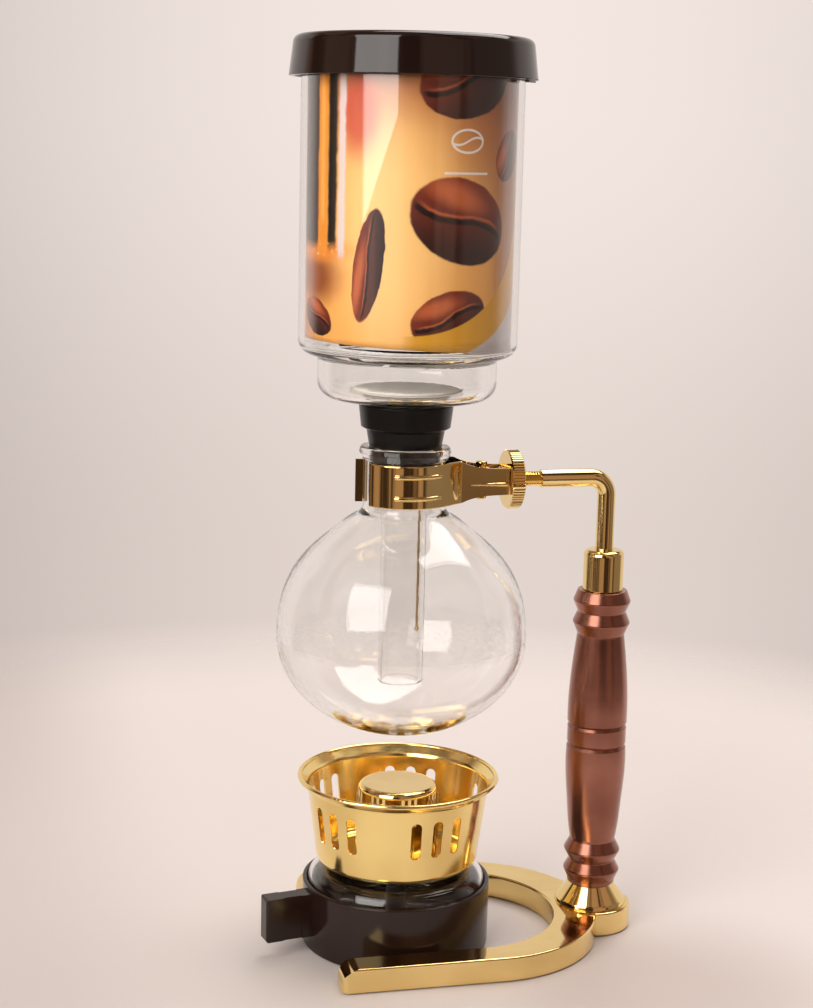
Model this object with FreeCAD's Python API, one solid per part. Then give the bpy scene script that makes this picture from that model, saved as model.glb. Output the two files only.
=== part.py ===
import FreeCAD, Part
import math
import os
from FreeCAD import Vector

# Table-top vacuum (siphon) coffee brewer with a spirit burner, in millimetres.
# The origin is on the table under the flask's axis. +Z is up and +X points at the post.

# Overall
post_offset = 80.3          # flask axis to post axis
clamp_height = 181.5        # table to the axis of the rod's level end
overall_height = 344.0      # table to the top of the lid
running_gap = 0.05          # radial clearance of a running or sliding fit
body_gap = 0.3              # clearance between pieces that lift apart

# Horseshoe plinth
plinth_top = 9.5
plinth_bottom = 0.5
arm_width = 11.3
arm_end_x = -31.0           # tip of the two arms
arm_end_round = 7.0         # arm's top rolled down to its tip
arm_end_corner = 3.2        # corners of the tip seen from above
notch_round = 0.6           # corner between the horseshoe and the lobe
lobe_margin = 1.8           # lobe outside the cone's foot
bridge_margin = 2.8         # cone's foot to the plinth's inner edge
plinth_edge = 0.8
pad_radius = 4.5
pad_thickness = 1.4
pad_angle = 50.0            # pads on the bend, from the post's direction

# Post
cone_foot_radius = 14.2
cone_top_radius = 8.6
cone_height = 8.2
ring_radius = 11.2
waist_radius = 9.0
belly_radius = 11.7
band_radius = 11.55
groove_radius = 10.9
handle_length = 119.5
collar_radius = 7.85
collar_height = 16.0
bolt_radius = 2.5
bolt_head_radius = 5.0
bolt_head_height = 3.5
washer_thickness = 1.0
bolt_recess_radius = 5.8
bolt_recess_top = 6.0

# Rod, pin and nut
rod_radius = 3.5
rod_bend_radius = 6.8
rod_grip_depth = 10.0       # rod inside the collar
thread_radius = 2.92
thread_depth = 0.35
thread_pitch = 1.0
thread_run = 13.95          # nut to the end of the plain rod
pin_gap = 14.1              # neck to the pin
pin_radius = 1.5
pin_head_radius = 2.2
pin_head_height = 1.4
pin_collar_radius = 1.7
pin_collar_height = 1.2
eye_radius = 3.0
eye_half_height = 2.4
nut_radius = 11.3
nut_thickness = 5.0
nut_gap = 0.25              # jaw tails to the nut
knurl_count = 64
knurl_depth = 0.4
washer_cone_radius = 4.8
washer_cone_length = 4.7
washer_cone_slope = 0.33

# Clamp jaws
jaw_thickness = 1.2
jaw_height = 16.2
tail_length = 9.4           # pin to the end of the jaws
tail_inner_y = 4.95
tail_half_height = 4.9
waist_margin = 0.7          # arm above the ears at its waist
jaw_edge_round = 0.5
bend_round = 1.0
leave_angle = 54.0          # where the band leaves the neck, degrees from +X
arm_rib_radius = 0.9
arm_rib_start = 2.5         # past the bend
arm_rib_drop = 1.0          # below the clamp's middle
boss_half = (2.3, 0.9, 6.6)  # oval boss beside the bend
boss_gap = 2.6              # boss's middle to the bend
boss_sink = 0.25
front_jaw_end = 206.0       # where the front band stops, degrees from +X
rear_jaw_end = 168.0
ear_thickness = 1.0
ear_gap = 0.1
rib_radius = 0.9            # bead pressed along the band
rib_offset = 4.0            # bead above and below the band's middle
bead_fade = 0.35

# Flask
flask_radius = 47.6
flask_depth = 37.3          # widest circle to the bottom
foot_radius = 7.0           # flat of the bottom
shoulder_height = 51.5      # widest circle to the neck
neck_wall = 2.0
lip_overhang = 1.7
lip_thickness = 4.7
lip_clearance = 0.7         # lip above the band
flask_wall = 1.9

# Rubber stopper
stopper_seat_radius = 13.65
stopper_slope = 0.169
stopper_depth = 14.0        # below the flask's lip
stopper_rise = 6.2          # from the lip to the flange's chamfer
flange_step = 2.1           # stopper's body to the flange's foot
flange_flare = 1.0          # flange's foot to its rim
flange_height = 8.6
flange_chamfer = 1.2

# Upper bowl and siphon tube
bowl_radius = 40.7
bowl_wall = 2.2
step_inset = 7.3            # bowl's wide part to its step
floor_rise = 0.8            # bowl's underside above the stopper
step_height = 18.6          # stopper's top to the bowl's wide part
tube_radius = 8.6
tube_wall = 1.4
tube_floor_gap = 19.1       # flask's underside to the tube's mouth

# Rolled sheet inside the bowl
paper_thickness = 0.35
paper_gap = 0.3
paper_tilt = 2.5
paper_rise = 2.6            # above the bowl's wide floor, at the axis
paper_top_gap = 3.3
paper_seam = 4.0            # open seam at the back, degrees

# Lid
lid_overhang = 4.5
lid_draft = 1.8
lid_height = 14.7
lid_plate = 3.4
lid_wall = 2.0
lid_edge_round = 3.0
lid_ring_depth = 7.5
lid_ring_wall = 1.8
lid_ring_gap = 0.8
lid_tab_angle = -33.0
lid_tab_span = 11.0
lid_tab_drop = 1.0

# Filter
filter_radius = 20.0
filter_plate_thickness = 0.8
filter_hole_radius = 0.9
filter_cloth_thickness = 1.4
filter_floor_gap = 0.6
stem_radius = 0.45
stem_wall_gap = 1.3         # stem's axis to the tube's bore
stem_end_rise = 20.7        # above the tube's mouth
spring_radius = 3.2
spring_wire_radius = 0.4
spring_pitch = 1.6
spring_length = 8.0

# Spirit burner
burner_radius = 36.4
burner_height = 25.2
burner_wall = 1.6
burner_floor = 2.0
burner_gap = 1.9            # burner to the horseshoe's inner edge
grip_length = 18.4
grip_width = 7.0
grip_bottom = 6.6
grip_top = 23.7
grip_turn = 191.0           # direction of the grip, degrees from +X
burner_pad_thickness = 1.0
reservoir_wall = 2.0
reservoir_gap = 0.2
shoulder_round = 7.0
reservoir_rise = 7.2        # above the burner's rim
reservoir_neck_radius = 14.5
holder_flange_radius = 12.6
holder_flange = 1.0
holder_tube_radius = 5.0
holder_tube_rise = 15.6     # above the reservoir
wick_radius = 3.9
wick_rise = 5.0             # above the holder's tube
guard_height = 33.6
guard_rim_overhang = 1.6    # rim outside the burner's base
guard_wall_inset = 1.4      # top of the wall inside the burner's base
guard_lip_height = 3.0
guard_bead_radius = 0.9
guard_foot_inset = 4.3
guard_sheet = 0.6
guard_foot_round = 3.2
slot_width = 4.0
slot_rise = 11.1            # above the guard's foot
slot_length = 14.8
slot_groups = 5
slots_per_group = 3
slot_pitch = 14.5
slot_first = -148.3         # middle of the first group, degrees from +X
cap_radius = 15.5
cap_wall = 0.8
cap_rise = 30.8             # above the reservoir
cap_edge_round = 2.4
cap_rib_radius = 0.7
cap_rib_groups = 8
cap_ribs_per_group = 3
cap_rib_pitch = 9.3
cap_rib_first = -134.5

# Places worked out from the values above
u_half = burner_radius + burner_gap
u_inner_x = post_offset - cone_foot_radius - bridge_margin - u_half
u_outer_radius = u_half + arm_width
u_outer_x = post_offset - u_outer_radius
lobe_radius = cone_foot_radius + lobe_margin
handle_bottom = plinth_top + cone_height
handle_top = handle_bottom + handle_length
collar_top = handle_top + collar_height
neck_bore = stopper_seat_radius + running_gap
neck_radius = neck_bore + neck_wall
lip_radius = neck_radius + lip_overhang
band_inner = neck_radius + running_gap
band_outer = band_inner + jaw_thickness
tail_outer_y = tail_inner_y + jaw_thickness
pin_x = neck_radius + pin_gap
tail_end_x = pin_x + tail_length
nut_face_x = tail_end_x + nut_gap
thread_start_x = nut_face_x + thread_run
ear_top = eye_half_height + 2 * (ear_thickness + ear_gap)
neck_foot = clamp_height - jaw_height / 2 + 0.1
belly_z = neck_foot - shoulder_height
lip_top = clamp_height + jaw_height / 2 + lip_clearance + lip_thickness
stopper_top = lip_top + stopper_rise + flange_chamfer + flange_height
bowl_top = overall_height - lid_plate - body_gap
bowl_floor_z = stopper_top + step_height
bowl_inner = bowl_radius - bowl_wall
step_radius = bowl_radius - step_inset
lid_radius = bowl_radius + lid_overhang
lid_top_radius = lid_radius - lid_draft
tube_bore = tube_radius - tube_wall
tube_bottom = belly_z - flask_depth + tube_floor_gap
filter_floor = stopper_top + floor_rise + bowl_wall + filter_floor_gap
stem_offset = tube_bore - stem_wall_gap
stem_bottom = tube_bottom + stem_end_rise
grip_reach = burner_radius + grip_length
reservoir_radius = burner_radius - burner_wall - reservoir_gap
reservoir_foot = burner_floor + burner_pad_thickness
reservoir_top = burner_height + reservoir_rise
flange_seat = reservoir_top + guard_sheet
holder_tube_top = reservoir_top + holder_tube_rise
holder_mouth = holder_flange_radius - 2.0
wick_top = holder_tube_top + wick_rise
guard_foot_radius = burner_radius - guard_foot_inset
guard_rim_radius = burner_radius + guard_rim_overhang
guard_rim_z = reservoir_top + guard_height
slot_bottom = reservoir_top + slot_rise
slot_top = slot_bottom + slot_length
cap_bottom = flange_seat + holder_flange + body_gap
cap_top = reservoir_top + cap_rise


def place(r, z, radius=0.0):
    return (r, z, radius)


def rounded_edges(points):
    """Straight runs joined by tangent arcs. A point is (x, z, corner radius), the loop is closed."""
    count = len(points)
    arcs = []
    for i in range(count):
        a, b, c = points[i - 1], points[i], points[(i + 1) % count]
        corner = Vector(b[0], 0, b[1])
        if b[2] <= 0:
            arcs.append((corner, None, corner))
            continue
        to_a = (Vector(a[0], 0, a[1]) - corner).normalize()
        to_c = (Vector(c[0], 0, c[1]) - corner).normalize()
        half = to_a.getAngle(to_c) / 2
        reach = b[2] / math.tan(half)
        bisector = (to_a + to_c).normalize()
        centre = corner + bisector * (b[2] / math.sin(half))
        arcs.append((corner + to_a * reach, centre - bisector * b[2], corner + to_c * reach))
    edges = []
    for i in range(count):
        start, middle, end = arcs[i]
        if middle is not None:
            edges.append(Part.Arc(start, middle, end).toShape())
        following = arcs[(i + 1) % count][0]
        if (following - end).Length > 1e-6:
            edges.append(Part.makeLine(end, following))
    return edges


def turned(points):
    """Solid of revolution about Z from a closed outline of (r, z, corner radius)."""
    return turned_edges(rounded_edges(points))


def turned_edges(edges):
    face = Part.Face(Part.Wire(Part.__sortEdges__(edges)))
    return face.revolve(Vector(0, 0, 0), Vector(0, 0, 1), 360)


def moved(shape, x=0.0, y=0.0, z=0.0):
    shape.translate(Vector(x, y, z))
    return shape


def turned_by(shape, angle, centre=Vector(0, 0, 0), axis=Vector(0, 0, 1)):
    shape.rotate(centre, axis, angle)
    return shape


def cylinder(radius, bottom, top, x=0.0, y=0.0):
    return Part.makeCylinder(radius, top - bottom, Vector(x, y, bottom))


def cylinder_x(radius, x0, x1, z):
    return Part.makeCylinder(radius, x1 - x0, Vector(x0, 0, z), Vector(1, 0, 0))


def box(x0, x1, y0, y1, z0, z1):
    return Part.makeBox(x1 - x0, y1 - y0, z1 - z0, Vector(x0, y0, z0))


def spline(points, start=None, end=None):
    """Smooth edge through (r, z) points, with optional end directions."""
    curve = Part.BSplineCurve()
    places = [Vector(r, 0, z) for r, z in points]
    if start is None:
        curve.interpolate(places)
    else:
        curve.interpolate(Points=places, InitialTangent=start, FinalTangent=end)
    return curve


def single(shape):
    """The one solid of a boolean's result, with its seams merged."""
    return shape.removeSplitter().Solids[0]


def save(name, shape):
    for solid in shape.Solids:
        if not solid.isValid() or not solid.isClosed():
            print("NOT SOUND", name)
    box_now = shape.BoundBox
    print("%-20s %2d solid(s) volume %10.1f  x %.1f %.1f  y %.1f %.1f  z %.1f %.1f" % (
        name, len(shape.Solids), shape.Volume, box_now.XMin, box_now.XMax,
        box_now.YMin, box_now.YMax, box_now.ZMin, box_now.ZMax))
    shape.exportStep("parts/%s.step" % name)


def pad_places():
    middle = u_half + arm_width / 2
    arm_x = arm_end_x + arm_end_round + pad_radius + 2
    bend = math.radians(pad_angle)
    bend_x = (u_inner_x + u_outer_x) / 2 + middle * math.cos(bend)
    bend_y = middle * math.sin(bend)
    return [(arm_x, middle), (arm_x, -middle), (bend_x, bend_y), (bend_x, -bend_y)]


def stand_base():
    outer = cylinder(u_outer_radius, plinth_bottom, plinth_top, u_outer_x)
    outer = outer.fuse(box(arm_end_x, u_outer_x, -u_outer_radius, u_outer_radius, plinth_bottom, plinth_top))
    outer = outer.fuse(cylinder(lobe_radius, plinth_bottom, plinth_top, post_offset)).removeSplitter()
    inner = cylinder(u_half, plinth_bottom, plinth_top, u_inner_x)
    inner = inner.fuse(box(arm_end_x - 1, u_inner_x, -u_half, u_half, plinth_bottom, plinth_top)).removeSplitter()
    base = single(outer.cut(inner))
    ends = [e for e in base.Edges if e.BoundBox.ZLength > 1 and e.BoundBox.XMax < arm_end_x + 0.5]
    base = base.makeFillet(arm_end_corner, ends)
    notches = [e for e in base.Edges if e.BoundBox.ZLength > 1 and e.BoundBox.XMin > u_outer_x + 5
               and e.BoundBox.XLength < 1e-6]
    base = base.makeFillet(notch_round, notches)
    rims = [e for e in base.Edges if e.BoundBox.ZMin > plinth_top - 1e-3]
    base = base.makeFillet(plinth_edge, rims)
    side = Part.Face(Part.Wire(Part.__sortEdges__(rounded_edges([
        place(arm_end_x, plinth_bottom, 1.0), place(arm_end_x, plinth_top, arm_end_round),
        place(post_offset + lobe_radius + 1, plinth_top), place(post_offset + lobe_radius + 1, plinth_bottom)]))))
    slab = moved(side.extrude(Vector(0, 2 * u_outer_radius + 2, 0)), y=-u_outer_radius - 1)
    base = single(base.common(slab))
    for x, y in pad_places():
        base = base.cut(cylinder(pad_radius, -1, pad_thickness, x, y))
    base = base.cut(cylinder(bolt_recess_radius, -1, bolt_recess_top, post_offset))
    return base.cut(cylinder(bolt_radius, 0, plinth_top + 1, post_offset))


def foot_pads():
    return Part.makeCompound([cylinder(pad_radius, 0, pad_thickness, x, y) for x, y in pad_places()])


def base_cone():
    cone = turned([
        place(bolt_radius, plinth_top), place(cone_foot_radius, plinth_top, 0.3),
        place(cone_foot_radius - 0.5, plinth_top + 1.6, 2.0),
        place(cone_top_radius, handle_bottom, 0.3), place(bolt_radius, handle_bottom)])
    return moved(cone, post_offset)


def handle_grip():
    """Turned handle: two pairs of beads, a double groove round the middle and two swelling grips."""
    low, top = handle_bottom, handle_top
    ridge = 1.2
    beads_low = [
        place(bolt_radius, low), place(waist_radius + 0.3, low, 0.3),
        place(waist_radius + 0.5, low + 1.6, 1.0), place(ring_radius, low + 5.4, ridge),
        place(waist_radius, low + 9.3, 0.5), place(ring_radius, low + 13.6, ridge),
        place(waist_radius, low + 17.8, 0.6), place(waist_radius, low + 18.8)]
    beads_top = [
        place(waist_radius + 0.25, top - 18.2), place(waist_radius + 0.25, top - 17.4, 0.6),
        place(ring_radius, top - 12.8, ridge), place(waist_radius + 0.4, top - 8.6, 0.5),
        place(ring_radius, top - 4.2, ridge), place(waist_radius + 0.6, top, 0.5), place(bolt_radius, top)]
    middle = low + 61.3
    half_band = 3.1
    groove = 1.0
    lower_curve = spline([
        (waist_radius, low + 18.8), (waist_radius + 0.62, low + 22.6), (belly_radius - 0.95, low + 34.5),
        (belly_radius, low + 46.5), (belly_radius - 0.05, middle - half_band - 2 * groove)])
    upper_curve = spline([
        (belly_radius - 0.05, middle + half_band + 2 * groove), (belly_radius, middle + 9.5),
        (belly_radius - 0.3, middle + 19.0), (belly_radius - 1.15, middle + 29.0),
        (waist_radius + 0.25, top - 18.2)])
    band = [
        (belly_radius - 0.05, middle - half_band - 2 * groove), (groove_radius, middle - half_band - groove),
        (band_radius, middle - half_band), (band_radius, middle + half_band),
        (groove_radius, middle + half_band + groove), (belly_radius - 0.05, middle + half_band + 2 * groove)]
    edges = open_edges(beads_low) + [lower_curve.toShape()]
    edges += [Part.makeLine(Vector(a[0], 0, a[1]), Vector(b[0], 0, b[1])) for a, b in zip(band, band[1:])]
    edges += [upper_curve.toShape()] + open_edges(beads_top)
    edges.append(Part.makeLine(Vector(bolt_radius, 0, top), Vector(bolt_radius, 0, low)))
    return moved(turned_edges(edges), post_offset)


def open_edges(points):
    """The same rounded runs as rounded_edges, without the run that would close the loop."""
    loop = rounded_edges(points)
    first = Vector(points[0][0], 0, points[0][1])
    last = Vector(points[-1][0], 0, points[-1][1])
    return [e for e in loop if not joins(e, first, last)]


def joins(edge, first, last):
    ends = [edge.Vertexes[0].Point, edge.Vertexes[-1].Point]
    return (min((p - first).Length for p in ends) < 1e-6 and min((p - last).Length for p in ends) < 1e-6)


def handle_collar():
    collar = turned([
        place(bolt_radius, handle_top), place(collar_radius, handle_top, 0.3),
        place(collar_radius, collar_top, 2.2), place(rod_radius, collar_top, 0.0),
        place(rod_radius, collar_top - rod_grip_depth), place(bolt_radius, collar_top - rod_grip_depth)])
    return moved(collar, post_offset)


def bolt_head_bottom():
    return bolt_recess_top - washer_thickness - bolt_head_height


def tie_bolt():
    head_low = bolt_head_bottom()
    head_high = head_low + bolt_head_height
    head = cylinder(bolt_head_radius, head_low, head_high, post_offset)
    slot = box(post_offset - bolt_head_radius - 1, post_offset + bolt_head_radius + 1, -0.8, 0.8,
               head_low - 1, head_low + 1.4)
    return head.cut(slot).fuse(cylinder(bolt_radius, head_high, collar_top - rod_grip_depth - 0.5, post_offset))


def tie_washer():
    ring = cylinder(bolt_head_radius + 0.4, bolt_recess_top - washer_thickness, bolt_recess_top, post_offset)
    return ring.cut(cylinder(bolt_radius, 0, plinth_top, post_offset))


def threaded_end(x0, x1):
    """Ridged end of the rod, turned about Z and then laid along X."""
    teeth = int(round((x1 - x0) / thread_pitch))
    step = (x1 - x0) / teeth
    points = [place(0, 0), place(thread_radius - thread_depth, 0)]
    for i in range(teeth):
        points.append(place(thread_radius, (i + 0.5) * step))
        points.append(place(thread_radius - thread_depth, (i + 1) * step))
    points.append(place(0, x1 - x0))
    screw = turned(points)
    turned_by(screw, 90, axis=Vector(0, 1, 0))
    return moved(screw, x0, 0, clamp_height)


def support_rod():
    level = clamp_height
    bend_z = level - rod_bend_radius
    bend_x = post_offset - rod_bend_radius
    low = collar_top - rod_grip_depth
    diagonal = rod_bend_radius * math.sqrt(0.5)
    path = Part.Wire([
        Part.makeLine(Vector(post_offset, 0, low), Vector(post_offset, 0, bend_z)),
        Part.Arc(Vector(post_offset, 0, bend_z), Vector(bend_x + diagonal, 0, bend_z + diagonal),
                 Vector(bend_x, 0, level)).toShape(),
        Part.makeLine(Vector(bend_x, 0, level), Vector(thread_start_x, 0, level))])
    section = Part.Wire(Part.makeCircle(rod_radius, Vector(post_offset, 0, low), Vector(0, 0, 1)))
    rod = path.makePipeShell([section], True, False)
    thread_end = pin_x + eye_radius + 0.4
    rod = rod.fuse(threaded_end(thread_end, thread_start_x))
    eye = cylinder(eye_radius, level - eye_half_height, level + eye_half_height, pin_x)
    neck = box(pin_x, thread_end, -eye_half_height, eye_half_height, level - eye_half_height,
               level + eye_half_height)
    rod = rod.fuse(eye.fuse(neck))
    return rod.cut(cylinder(pin_radius, level - 10, level + 10, pin_x)).removeSplitter()


def pivot_pin():
    reach = ear_top + running_gap
    pin = cylinder(pin_radius, clamp_height - reach, clamp_height + reach, pin_x)
    top = pin_collar_height + pin_head_height
    head = turned([
        place(0, 0), place(pin_collar_radius, 0), place(pin_collar_radius, pin_collar_height),
        place(pin_head_radius, pin_collar_height), place(pin_head_radius, top, 0.5), place(0, top)])
    upper = moved(head.copy(), pin_x, 0, clamp_height + reach)
    lower = turned_by(head.copy(), 180, axis=Vector(1, 0, 0))
    return pin.fuse([upper, moved(lower, pin_x, 0, clamp_height - reach)]).removeSplitter()


def knurled_disc():
    points = []
    for i in range(knurl_count):
        for k, radius in ((0.0, nut_radius - knurl_depth), (0.3, nut_radius), (0.7, nut_radius)):
            angle = 2 * math.pi * (i + k) / knurl_count
            points.append(Vector(0, radius * math.cos(angle), radius * math.sin(angle)))
    face = Part.Face(Part.makePolygon(points + [points[0]]))
    return face.extrude(Vector(nut_thickness, 0, 0))


def thumb_nut():
    disc = moved(knurled_disc(), nut_face_x, 0, clamp_height)
    edge = 0.5
    blank = turned([
        place(0, 0), place(nut_radius - edge, 0), place(nut_radius + 0.1, edge + 0.1),
        place(nut_radius + 0.1, nut_thickness - edge - 0.1), place(nut_radius - edge, nut_thickness),
        place(0, nut_thickness)])
    turned_by(blank, 90, axis=Vector(0, 1, 0))
    disc = disc.common(moved(blank, nut_face_x, 0, clamp_height))
    bore = thread_radius + running_gap
    return disc.cut(cylinder_x(bore, nut_face_x - 1, nut_face_x + nut_thickness + 1, clamp_height))


def cone_washer():
    """Conical washer that spreads the two jaw tails as the nut is screwed up."""
    back = nut_face_x - running_gap
    small = washer_cone_radius - washer_cone_slope * washer_cone_length
    bore = thread_radius + running_gap
    cone = turned([
        place(bore, 0), place(washer_cone_radius, 0), place(small, washer_cone_length),
        place(bore, washer_cone_length)])
    turned_by(cone, -90, axis=Vector(0, 1, 0))
    return moved(cone, back, 0, clamp_height)


def sector(start, end, radius, low, high):
    """Pie slice between two angles, as a cutter."""
    count = max(2, int(abs(end - start) / 30) + 1)
    points = [Vector(0, 0, low)]
    for i in range(count + 1):
        angle = math.radians(start + (end - start) * i / count)
        points.append(Vector(radius * math.cos(angle), radius * math.sin(angle), low))
    return Part.Face(Part.makePolygon(points + [points[0]])).extrude(Vector(0, 0, high - low))


def jaw_sheet(band_end, low, high):
    """Sheet that wraps the neck, leaves it on a straight and bends into the arm, on the +Y side."""
    leave = math.radians(leave_angle)
    sides = []
    for radius, arm_y in ((band_outer, tail_outer_y), (band_inner, tail_inner_y)):
        run = (radius * math.sin(leave) - arm_y) / math.cos(leave)
        bend_x = radius * math.cos(leave) + run * math.sin(leave)
        points = [around(radius, degrees, low) for degrees in (band_end, (band_end + leave_angle) / 2, leave_angle)]
        sides.append((Part.Arc(*points).toShape(), points, Vector(bend_x, arm_y, low), Vector(tail_end_x, arm_y, low)))
    (outer_arc, outer, bend, tail), (inner_arc, inner, inner_bend, inner_tail) = sides
    edges = [outer_arc, inner_arc, Part.makeLine(outer[0], inner[0])]
    for a, b in ((outer[2], bend), (bend, tail), (tail, inner_tail), (inner_tail, inner_bend), (inner_bend, inner[2])):
        edges.append(Part.makeLine(a, b))
    sheet = Part.Face(Part.Wire(Part.__sortEdges__(edges))).extrude(Vector(0, 0, high - low))
    corner = [e for e in sheet.Edges if e.BoundBox.ZLength > 1 and (e.Vertexes[0].Point - bend).cross(
        Vector(0, 0, 1)).Length < 1e-6]
    sheet = sheet.makeFillet(bend_round, corner)
    return sheet.makeFillet(jaw_edge_round, outer_rims(sheet)), bend


def around(radius, degrees, z):
    angle = math.radians(degrees)
    return Vector(radius * math.cos(angle), radius * math.sin(angle), z)


def outer_rims(sheet):
    """Top and bottom edges of the sheet's outer side."""
    rims = []
    for edge in sheet.Edges:
        middle = edge.valueAt((edge.FirstParameter + edge.LastParameter) / 2)
        outside = middle.y > tail_outer_y - 1e-3 and math.hypot(middle.x, middle.y) > band_outer - 1e-3
        if edge.BoundBox.ZLength < 1e-6 and outside and edge.Length > jaw_thickness:
            rims.append(edge)
    return rims


def oval_boss(bend):
    """Oval boss pressed outwards beside the bend."""
    leave = math.radians(leave_angle)
    boss = Part.makeSphere(1.0)
    stretch = FreeCAD.Matrix()
    stretch.scale(*boss_half)
    boss = boss.transformGeometry(stretch)
    turned_by(boss, leave_angle - 90)
    back = boss_gap * math.sin(leave) + boss_sink * math.cos(leave)
    rise = boss_gap * math.cos(leave) - boss_sink * math.sin(leave)
    return moved(boss, bend.x - back, bend.y + rise, clamp_height)


def arm_rib(bend):
    """Tapered rib along the arm."""
    start = bend.x + arm_rib_start
    length = tail_end_x - start - jaw_edge_round
    rib = Part.makeCone(arm_rib_radius / 3, arm_rib_radius, length, Vector(0, 0, 0), Vector(1, 0, 0))
    rib = moved(rib, start, tail_outer_y - arm_rib_radius / 3, clamp_height - arm_rib_drop)
    return rib.cut(box(0, tail_end_x, -tail_outer_y, tail_inner_y + 0.2, clamp_height - jaw_height, clamp_height + jaw_height))


def jaw(band_end, ear_low, flare):
    """One jaw of sheet metal, made as the rear one (+Y) and mirrored for the front."""
    low, high = clamp_height - jaw_height / 2, clamp_height + jaw_height / 2
    body, bend = jaw_sheet(band_end, low, high)
    if flare > 0:
        lip = box(band_inner, band_outer + flare, -jaw_thickness, 0, low, high)
        body = body.fuse(turned_by(lip, band_end)).removeSplitter()
    body = body.common(arm_outline())
    body = body.fuse([oval_boss(bend), arm_rib(bend)])
    for side in (-1, 1):
        body = body.fuse(bead(side * rib_offset, leave_angle - 2, band_end - 39))
    for side in (-1, 1):
        z0 = clamp_height + side * ear_low
        z1 = clamp_height + side * (ear_low + ear_thickness)
        ear = cylinder(eye_radius, min(z0, z1), max(z0, z1), pin_x)
        ear = ear.fuse(box(pin_x - eye_radius, pin_x + eye_radius, 0, tail_inner_y + 0.2, min(z0, z1), max(z0, z1)))
        body = body.fuse(ear)
    body = body.cut(cylinder(pin_radius + running_gap, low, high, pin_x))
    return body.removeSplitter()


def bead(offset, start, end):
    """Bead pressed outwards along the band, fading towards the arm."""
    level = clamp_height + offset
    shift = around(bead_fade, end, 0)
    ring = Part.makeTorus(band_outer - 0.3, rib_radius, Vector(shift.x, shift.y, level))
    ring = ring.cut(cylinder(band_inner + 0.3, clamp_height - jaw_height, clamp_height + jaw_height))
    return ring.common(sector(start, end, 4 * band_outer, clamp_height - jaw_height, clamp_height + jaw_height))


def arm_outline():
    """Side view of a jaw: full height round the neck, waisted to the tail, as a slab along Y."""
    half = jaw_height / 2
    start_x = neck_radius + 4.6
    run = tail_end_x - start_x
    curve = [(start_x, half), (start_x + 0.27 * run, 0.755 * half), (start_x + 0.54 * run, ear_top + waist_margin),
             (tail_end_x + 1, tail_half_height)]
    upper = [(x, z + clamp_height) for x, z in curve]
    lower = [(x, clamp_height - z) for x, z in curve]
    edges = [spline(upper).toShape(), spline(lower).toShape()]
    left = -2 * band_outer
    corners = [upper[0], (left, upper[0][1]), (left, lower[0][1]), lower[0]]
    edges += [Part.makeLine(Vector(a[0], 0, a[1]), Vector(b[0], 0, b[1])) for a, b in zip(corners, corners[1:])]
    edges.append(Part.makeLine(Vector(upper[-1][0], 0, upper[-1][1]), Vector(lower[-1][0], 0, lower[-1][1])))
    face = Part.Face(Part.Wire(Part.__sortEdges__(edges)))
    return moved(face.extrude(Vector(0, 6 * band_outer, 0)), y=-3 * band_outer)


def front_jaw():
    shape = jaw(360 - front_jaw_end, eye_half_height + ear_thickness + 2 * ear_gap, 0)
    return shape.mirror(Vector(0, 0, 0), Vector(0, 1, 0))


def rear_jaw():
    return jaw(rear_jaw_end, eye_half_height + ear_gap, 1.6)


def shoulder_points(neck, widest, low, high):
    """Points of the onion-shaped shoulder, from the widest circle up to the neck."""
    shares = [(1.0, 0.0), (0.95, 0.285), (0.815, 0.489), (0.604, 0.654), (0.318, 0.806), (0.085, 0.912), (0.0, 1.0)]
    return [(neck + (widest - neck) * r, low + (high - low) * z) for r, z in shares]


def flask_side(neck, widest, depth):
    """Edges from the neck's foot down the shoulder and round the belly to the axis."""
    up = Vector(0, 0, 1)
    shoulder = spline(shoulder_points(neck, widest, belly_z, neck_foot), up, up)
    belly = Part.Ellipse(Vector(widest, 0, belly_z), Vector(0, 0, belly_z - depth), Vector(0, 0, belly_z))
    quarter = Part.ArcOfEllipse(belly, 0, math.acos(foot_radius / widest)).toShape()
    return [shoulder.toShape(), quarter]


def flask():
    outer = flask_side(neck_radius, flask_radius, flask_depth)
    inner = flask_side(neck_bore, flask_radius - flask_wall, flask_depth - flask_wall)
    lip_low = lip_top - lip_thickness
    rim = open_edges([
        place(neck_bore, neck_foot), place(neck_bore, lip_top, 0.6), place(lip_radius - 0.6, lip_top, 1.2),
        place(lip_radius, lip_top - 2.2, 1.0), place(neck_radius + 0.4, lip_low, 1.0),
        place(neck_radius, lip_low - 0.2), place(neck_radius, neck_foot)])
    floor = [flask_foot(outer[1]), flask_foot(inner[1])]
    bottom = Part.makeLine(Vector(0, 0, floor[0].BoundBox.ZMin), Vector(0, 0, floor[1].BoundBox.ZMin))
    return turned_edges(outer + inner + rim + floor + [bottom])


def flask_foot(belly):
    """Flat of the flask's bottom, from the end of its belly to the axis."""
    end = min((v.Point for v in belly.Vertexes), key=lambda p: p.z)
    return Part.makeLine(end, Vector(0, 0, end.z))


def stopper_radius_at(z):
    return stopper_seat_radius + stopper_slope * (z - lip_top)


def stopper():
    low = lip_top - stopper_depth
    chamfer = lip_top + stopper_rise
    flange_foot = stopper_radius_at(chamfer) + flange_step
    countersink = 3.2
    return turned([
        place(tube_radius, low), place(stopper_radius_at(low), low, 0.8),
        place(stopper_radius_at(chamfer), chamfer), place(flange_foot, chamfer + flange_chamfer, 0.3),
        place(flange_foot + flange_flare, stopper_top, 0.6), place(tube_radius + countersink, stopper_top),
        place(tube_radius, stopper_top - countersink)])


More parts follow.
